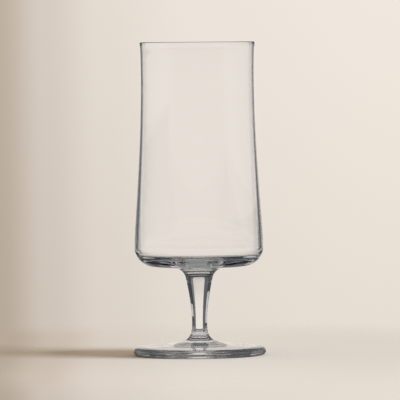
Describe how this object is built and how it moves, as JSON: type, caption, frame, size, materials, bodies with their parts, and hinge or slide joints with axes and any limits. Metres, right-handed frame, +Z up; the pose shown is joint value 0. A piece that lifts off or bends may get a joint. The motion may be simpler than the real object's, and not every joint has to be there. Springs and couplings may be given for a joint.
{
  "type": "pilsner glass",
  "caption": "Stemmed pilsner glass in one piece: tall bowl with a soft waist, a rounded shoulder and a thick floor, on a tapered stem and a round foot with a hollow underside.",
  "frame": {"origin": "on the glass's own axis, in the plane of the table that it stands on", "axes": "+Z up along the axis of the glass, from the foot to the rim; the glass is round about Z, so X and Y are free"},
  "size_m": [0.0753, 0.0752, 0.178],
  "materials": {
    "clear_glass": "clear colourless glass with a fire-polished surface, smooth all over"
  },
  "bodies": {
    "root": {"pilsner_glass": "clear_glass"}
  },
  "joints": []
}
